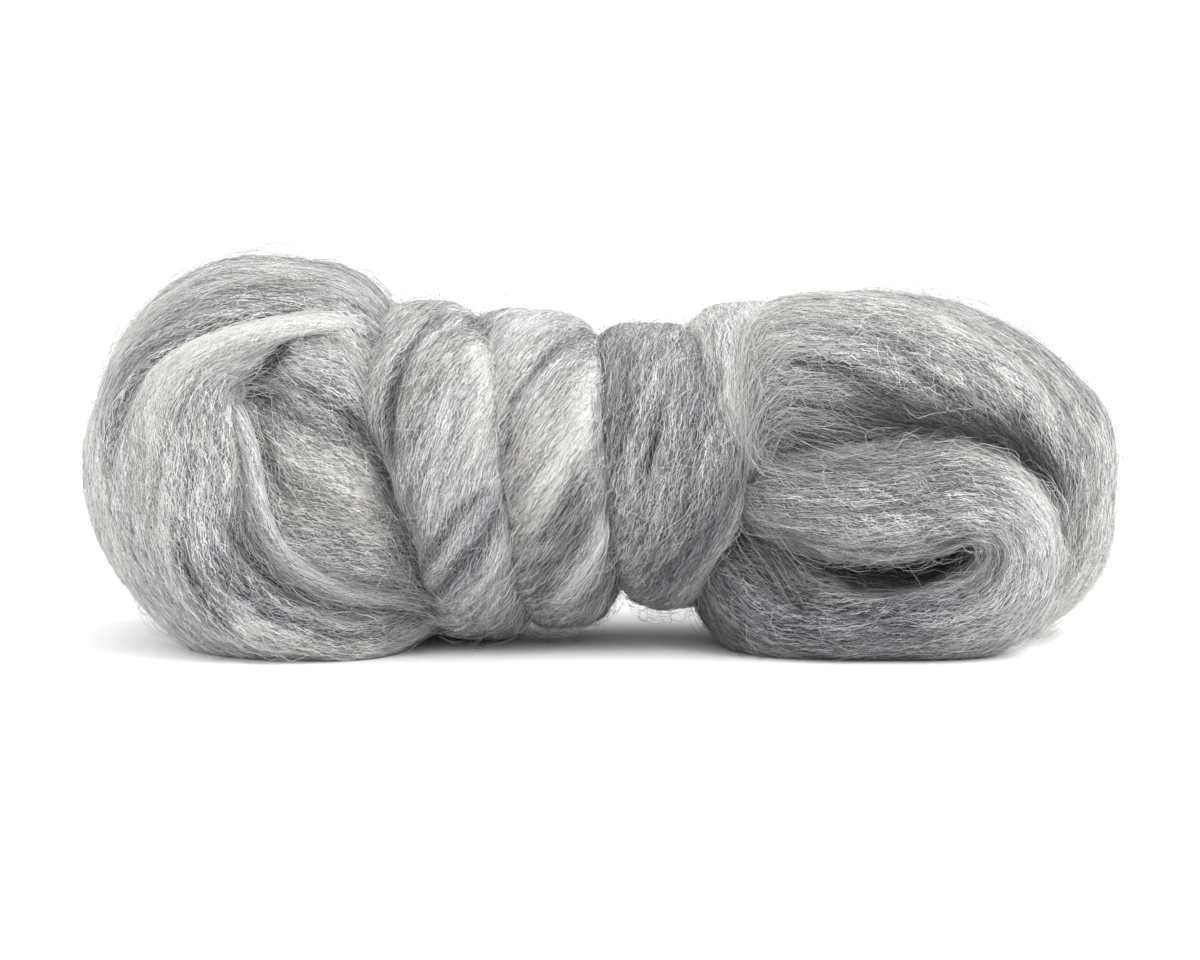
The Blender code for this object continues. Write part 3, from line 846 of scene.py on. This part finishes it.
# Sizes are in millimetres, and spread and crimp are angles in radians. A real fibre is 0.015 mm
# in radius, so they are drawn about four times as thick to show.
LAID = Fibres(8500, (8, 19), 0.26, 0.2, 0.072, 0.16, 0.18, 21)
STRAY = Fibres(12500, (7, 17), 0.5, 1.7, 0.05, 0.26, 0.26, 22)
FIBRE_POINTS = 6
BEND_SPREAD, CRIMP_SPREAD, KINK_SPREAD, TONE_SPREAD = 0.2, 0.08, 0.1, 0.22
LEAST_LIFT, MOST_LIFT, LIFT_SPREAD = 0.12, 4.0, 0.03
TIP_DEPTH = 0.05
SURFACE_GAP = 0.15
RADIUS_RANGE = (0.7, 1.3)
TIP_THINNING, TINT_SPREAD = 0.6, 0.5
FRONT_CROWD, BACK_CROWD, UNDER_CROWD = 1.5, 0.8, 0.05
UNDER_HEIGHT, UNDER_FACING = 3.0, -0.3


def tree_of(strand):
    """A search tree over a strand's grid, with the lowest and highest corner of its box."""
    points = strand.points[::2, ::2]
    walls = walls_of(*points.shape[:2])
    flat = points.reshape(-1, 3)
    a, b, c = (flat[walls[:, k]] for k in range(3))
    if (np.cross(b - a, c - a) * strand.normals[::2, ::2][:-1].reshape(-1, 3)).sum() < 0:
        walls = walls[:, ::-1]
    return BVHTree.FromPolygons(flat.tolist(), walls.tolist()), flat.min(axis=0), flat.max(axis=0)


def shown_share(strand, others):
    """For every third row and column of a strand, 1 where no other strand covers it."""
    points = strand.points[::3, ::3]
    covered = np.zeros(points.shape[:2], dtype=bool)
    for tree, low, high in others:
        inside = ((points > low) & (points < high)).all(axis=2) & ~covered
        for row, column in zip(*np.nonzero(inside)):
            point = Vector(points[row, column])
            near, normal, _, _ = tree.find_nearest(point)
            covered[row, column] = (point - near).dot(normal) < 0
    return np.where(covered, 0.0, 1.0)


def read_grid(grid, along, turn):
    """Values of a grid at shares along and round it, blended from the four nearest."""
    rows, columns = grid.shape[:2]
    y = np.clip(along, 0, 1) * (rows - 1)
    x = (turn % 1.0) * columns
    j = np.minimum(y.astype(int), rows - 2)
    i = x.astype(int) % columns
    g, f = (y - j)[..., None], (x - np.floor(x))[..., None]
    grid = grid.reshape(rows, columns, -1)
    near = grid[j, i] * (1 - f) + grid[j, (i + 1) % columns] * f
    far = grid[j + 1, i] * (1 - f) + grid[j + 1, (i + 1) % columns] * f
    return near * (1 - g) + far * g


def crowd(strand, shown):
    """How thickly fibres lie on each cell: more on the front, hardly any underneath."""
    cells, normals = strand.points[::3, ::3], strand.normals[::3, ::3]
    along = np.linalg.norm(np.gradient(cells, axis=0), axis=2)
    around = np.linalg.norm(np.roll(cells, -1, axis=1) - cells, axis=2)
    front = np.where(normals[:, :, 1] < 0, FRONT_CROWD, BACK_CROWD)
    under = (cells[:, :, 2] < UNDER_HEIGHT) & (normals[:, :, 2] < UNDER_FACING)
    return shown * along * around * front * np.where(under, UNDER_CROWD, 1)


def fibre_paths(strand, weight, kind, count, rng):
    """Fibres laid over a strand: points, the surface's normals there, and each one's tone.

    A fibre starts at a random point that shows, keeps the lay's direction give or take the
    spread, swings from side to side by its crimp, and rises to its lift and back.
    """
    chosen = rng.choice(weight.size, count, p=weight.ravel() / weight.sum())
    row, column = np.divmod(chosen, weight.shape[1])
    along0 = (row + rng.uniform(-0.5, 0.5, count)) / (weight.shape[0] - 1)
    turn0 = (column + rng.uniform(-0.5, 0.5, count)) / weight.shape[1]
    step_of = np.linalg.norm(np.gradient(strand.points, axis=0), axis=2) * (len(strand.points) - 1)
    span = read_grid(step_of, along0, turn0)[:, 0]
    step = rng.uniform(*kind.length, count) / (FIBRE_POINTS - 1)
    heading = evenly(strand.lay, along0) + rng.normal(0, kind.spread * strand.wild, count)
    place = np.linspace(-1, 1, FIBRE_POINTS)
    bend = rng.normal(0, BEND_SPREAD, count)[:, None] * place
    side = rng.choice([-1, 1], count)[:, None] * np.where(np.arange(FIBRE_POINTS) % 2, 1, -1)
    swing = side * rng.normal(kind.crimp, CRIMP_SPREAD, (count, 1))
    swing = swing + rng.normal(0, KINK_SPREAD, (count, FIBRE_POINTS))
    angle = heading[:, None] + bend + swing
    along = np.cumsum(np.cos(angle) * step[:, None] / span[:, None], axis=1)
    turn = np.cumsum(np.sin(angle) * step[:, None] / strand.girth, axis=1)
    middle = FIBRE_POINTS // 2
    along += (along0 - along[:, middle])[:, None]
    turn += (turn0 - turn[:, middle])[:, None]
    normals = read_grid(strand.normals, along, turn)
    rise = np.minimum(rng.exponential(kind.lift, count), MOST_LIFT)[:, None]
    lift = (LEAST_LIFT + rise) * (1 - place**4) - TIP_DEPTH
    lift += rng.normal(0, LIFT_SPREAD, (count, FIBRE_POINTS))
    points = read_grid(strand.points, along, turn) + normals * lift[..., None]
    points[..., 2] = np.maximum(points[..., 2], SURFACE_GAP)
    tone = read_grid(strand.tone, along0, turn0)[:, 0] + kind.tone
    tone = tone + rng.normal(0, TONE_SPREAD, count)
    return points, normals, np.clip(tone, 0, 1)


def fibre_mesh(name, points, normals, tones, radius, rng):
    """Three-sided tubes through the points, thinned to their tips, in one mesh."""
    count = len(points)
    along = unit(np.gradient(points, axis=1))
    side = unit(np.cross(along, normals))
    up = np.cross(side, along)
    thick = radius[:, None] * (1 - TIP_THINNING * abs(np.linspace(-1, 1, FIBRE_POINTS)) ** 3)
    angles = math.pi / 2 + 2 * math.pi * np.arange(3) / 3
    ring = [math.cos(a) * side + math.sin(a) * up for a in angles]
    tube = points[:, :, None] + thick[:, :, None, None] * np.stack(ring, axis=2)
    per = 3 * FIBRE_POINTS
    step, corner = np.mgrid[0:FIBRE_POINTS - 1, 0:3]
    after = (corner + 1) % 3
    walls = np.stack([
        3 * step + corner, 3 * step + after, 3 * step + 3 + after, 3 * step + 3 + corner,
    ], axis=2).reshape(-1, 4)
    caps = np.array([[2, 1, 0], [per - 3, per - 2, per - 1]])
    base = (np.arange(count) * per)[:, None, None]
    mesh = closed_mesh(name, tube, [(walls + base).reshape(-1, 4), (caps + base).reshape(-1, 3)])
    paint(mesh, "tone", np.repeat(tones, per))
    paint(mesh, "tint", np.repeat(rng.normal(0, TINT_SPREAD, count), per))
    return mesh


def loose_wool():
    """Single wool fibres: fine, pale to dark grey, with the low silky gloss of their scales."""
    material, tree, shader = new_material("loose_wool_fibre", {
        "Roughness": 0.65, "Specular IOR Level": 0.25, "Sheen Weight": 0.3})
    tone = add(tree, "ShaderNodeAttribute", {"attribute_name": "tone"}, {})
    tree.links.new(fibre_colour(tree, tone.outputs["Fac"]), shader.inputs["Base Color"])
    return material


LOOSE = loose_wool()


def show_fibres(name, points, normals, tones, radius, rng):
    """The piece of a bunch of loose fibres, each a little thicker or thinner than the radius."""
    radii = radius * rng.uniform(*RADIUS_RANGE, len(points))
    fibres = put(name, fibre_mesh(name, points, normals, tones, radii, rng))
    fibres.data.materials.append(LOOSE)
    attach(fibres, "root")


TREES = [tree_of(strand) for strand in STRANDS]
CROWDS = [
    crowd(strand, shown_share(strand, TREES[:k] + TREES[k + 1:]))
    for k, strand in enumerate(STRANDS)
]
SHARES = np.array([weight.sum() for weight in CROWDS])
SHARES /= SHARES.sum()
for label, kind in (("laid", LAID), ("stray", STRAY)):
    for k, (strand, weight) in enumerate(zip(STRANDS, CROWDS)):
        rng = np.random.default_rng([kind.seed, k])
        count = round(kind.count * SHARES[k])
        points, normals, tones = fibre_paths(strand, weight, kind, count, rng)
        show_fibres(f"{label}_fibres_{strand.name}", points, normals, tones, kind.radius, rng)

# Wisps. Here and there a few wool fibres have been drawn across from one strand to the next, so
# the strands do not part cleanly. Each fibre is a thin tube that runs straight over any crease.
Wisp = namedtuple("Wisp", "path width count tone")

# A path runs through points of the frame, and its fibres lie its width either side of it or so.
# Lengths, lifts and the radius are in millimetres, and how far a fibre may wander from the path
# or overrun it is in pixels.
WISP_LENGTH = (10, 24)
WISP_LIFT = (0.2, 0.9)
WISP_RADIUS = 0.06
WISP_TONE_SPREAD = 0.2
WISP_WANDER = 1.6
WISP_OVERRUN = 20
WISP_SEED = 31

WISPS = [
    Wisp([(744, 400), (748, 350), (760, 322), (788, 308), (836, 312)], 7, 110, 0.95),
    Wisp([(738, 372), (744, 335), (760, 312), (792, 300), (840, 304)], 6, 90, 0.95),
    Wisp([(750, 420), (758, 372), (780, 346), (826, 344)], 7, 110, 0.92),
    Wisp([(752, 440), (764, 404), (790, 382), (838, 384)], 8, 110, 0.86),
    Wisp([(754, 470), (764, 440), (790, 420), (836, 428)], 9, 90, 0.74),
    Wisp([(744, 340), (748, 380), (752, 420), (754, 470)], 7, 110, 0.92),
    Wisp([(754, 440), (770, 462), (806, 474), (856, 480)], 10, 90, 0.74),
    Wisp([(766, 424), (800, 446), (850, 462), (900, 464)], 10, 90, 0.66),
    Wisp([(300, 350), (335, 346), (362, 356)], 10, 50, 0.85),
    Wisp([(396, 560), (412, 585), (440, 612), (480, 628)], 12, 80, 0.72),
    Wisp([(372, 470), (392, 500), (408, 540), (430, 575)], 14, 90, 0.62),
    Wisp([(330, 590), (370, 600), (410, 606), (440, 615)], 14, 70, 0.72),
    Wisp([(300, 560), (340, 584), (380, 598), (420, 606)], 10, 60, 0.72),
    # These two wisps cross the slot, and their low tone is painted shade.
    Wisp([(826, 560), (870, 576), (920, 570), (972, 540)], 13, 20, 0.2),
    Wisp([(870, 548), (890, 572), (906, 596)], 24, 6, 0.4),
    Wisp([(232, 384), (252, 370), (276, 352)], 8, 30, 0.6),
    Wisp([(226, 400), (240, 384), (262, 382), (290, 396)], 8, 50, 0.7),
    Wisp([(590, 380), (600, 430), (612, 490)], 8, 22, 0.6),
    Wisp([(820, 400), (870, 424), (940, 440), (1000, 470)], 16, 80, 0.6),
    # Dark fibres in the valley under the arch: their low tone is painted shade.
    Wisp([(850, 412), (900, 424), (960, 432), (1010, 450), (1046, 488)], 10, 110, 0.2),
    Wisp([(740, 500), (760, 530), (780, 560), (800, 590)], 12, 60, 0.66),
]


def on_hank(shown):
    """How far a ray through a point of the frame goes before it meets a strand, and its way."""
    place, right, up, forward = camera_axes()
    off = (shown - FRAME_MIDDLE) / FOCAL_PIXELS
    way = forward + off[0] * right - off[1] * up
    way /= np.linalg.norm(way)
    hits = [tree.ray_cast(Vector(place), Vector(way))[3] for tree, _, _ in TREES]
    return min((far for far in hits if far is not None), default=None), way


def wisp_paths(wisp, rng):
    """A wisp's fibres, each along its path from a place by chance, bridging any crease it meets."""
    path = np.array(wisp.path, dtype=float)
    at = spacing(path)
    pixels = FOCAL_PIXELS / CAMERA_DISTANCE
    place = camera_axes()[0]
    share = np.linspace(-0.5, 0.5, FIBRE_POINTS)
    paths = []
    for _ in range(wisp.count):
        length = rng.uniform(*WISP_LENGTH) * pixels
        here = rng.uniform(0, at[-1]) + length * share
        here = np.clip(here, -WISP_OVERRUN, at[-1] + WISP_OVERRUN)
        shown = np.stack([np.interp(here, at, path[:, k]) for k in range(2)], axis=1)
        aside = rng.normal(0, wisp.width, 2)
        wander = np.cumsum(rng.normal(0, WISP_WANDER, (FIBRE_POINTS, 2)), axis=0)
        far, ways = zip(*[on_hank(point) for point in shown + (aside + wander)])
        if None in far or len(set(here)) < FIBRE_POINTS:
            continue
        far = np.array(far)
        chord = np.linspace(far[0], far[-1], FIBRE_POINTS)
        lift = rng.uniform(*WISP_LIFT) * (1 - (2 * share) ** 4) - TIP_DEPTH
        paths.append(place + np.array(ways) * (np.minimum(far, chord) - lift)[:, None])
    return np.array(paths)


for k, wisp in enumerate(WISPS):
    rng = np.random.default_rng([WISP_SEED, k])
    points = wisp_paths(wisp, rng)
    towards_camera = np.broadcast_to(-camera_axes()[3], points.shape)
    tones = np.clip(wisp.tone + rng.normal(0, WISP_TONE_SPREAD, len(points)), 0, 1)
    show_fibres(f"wisp_{k + 1}", points, towards_camera, tones, WISP_RADIUS, rng)

# Studio: a white sheet on a table under a broad soft light from the upper right, with white
# walls all round, so shadows are short and pale. Its places and sizes are in metres.
FLOOR_HALF = 60.0
FLOOR_WHITE = "#F3F2F2"
# How bright the room is at a height, which is the sine of the angle above the horizon.
ROOM_LEVELS = ((0.0, 0.55), (1.0, 1.0), (0.03, 0.55), (0.08, 0.22), (0.4, 0.34))
ROOM_STRENGTH = 2.0


def stage_floor():
    """A flat white sheet on z = 0."""
    mesh = bpy.data.meshes.new("studio_floor")
    corners = [(x * FLOOR_HALF, y * FLOOR_HALF, 0) for x, y in ((-1, -1), (1, -1), (1, 1), (-1, 1))]
    mesh.from_pydata(corners, [], [(0, 1, 2, 3)])
    mesh.materials.append(new_material("matt_white_paper", {
        "Base Color": linear(FLOOR_WHITE), "Roughness": 0.9, "Specular IOR Level": 0.1})[0])
    floor = put("studio_floor", mesh)


def aim(item, place):
    """Puts a light or the camera at a place and turns it to the hank."""
    item.location = place
    item.rotation_euler = (Vector(AIM * MM) - Vector(place)).to_track_quat("-Z", "Y").to_euler()


def soft_light(name, place, size, power):
    """A square soft light at a place, hidden from the camera."""
    light = put(name, bpy.data.lights.new(name, "AREA"))
    light.data.size = size
    light.data.energy = power
    light.visible_camera = False
    aim(light, place)


def white_studio():
    """The room's light by height: a bright ceiling, dimmer walls, and white on the horizon."""
    world = bpy.data.worlds.new("white_studio")
    world.use_nodes = True
    tree = world.node_tree
    way = add(tree, "ShaderNodeTexCoord", {}, {})
    parts = add(tree, "ShaderNodeSeparateXYZ", {}, {"Vector": way.outputs["Generated"]})
    ramp = add(tree, "ShaderNodeValToRGB", {}, {"Fac": parts.outputs["Z"]})
    stops = ramp.color_ramp.elements
    for k, (height, level) in enumerate(ROOM_LEVELS):
        stop = stops[k] if k < 2 else stops.new(height)
        stop.color = (level, level, level, 1)
    background = tree.nodes["Background"]
    tree.links.new(ramp.outputs["Color"], background.inputs["Color"])
    background.inputs["Strength"].default_value = ROOM_STRENGTH
    bpy.context.scene.world = world


stage_floor()
white_studio()
soft_light("key_light", (0.9, -0.5, 1.1), 0.8, 16.0)
soft_light("left_rim_light", (-1.2, 0.15, 0.4), 0.8, 9.0)
soft_light("right_rim_light", (1.2, 0.25, 0.25), 0.8, 11.0)
bpy.context.scene.view_settings.view_transform = "Standard"

# Camera: a metre from the hank and a little above it, as the photograph was taken, and turned
# to the hank's middle.
SENSOR_WIDTH = 36.0
camera = put("camera", bpy.data.cameras.new("camera"))
camera.data.sensor_width = SENSOR_WIDTH
camera.data.lens = SENSOR_WIDTH * FOCAL_PIXELS / (2 * FRAME_MIDDLE[0])
aim(camera, camera_axes()[0] * MM)
bpy.context.scene.camera = camera
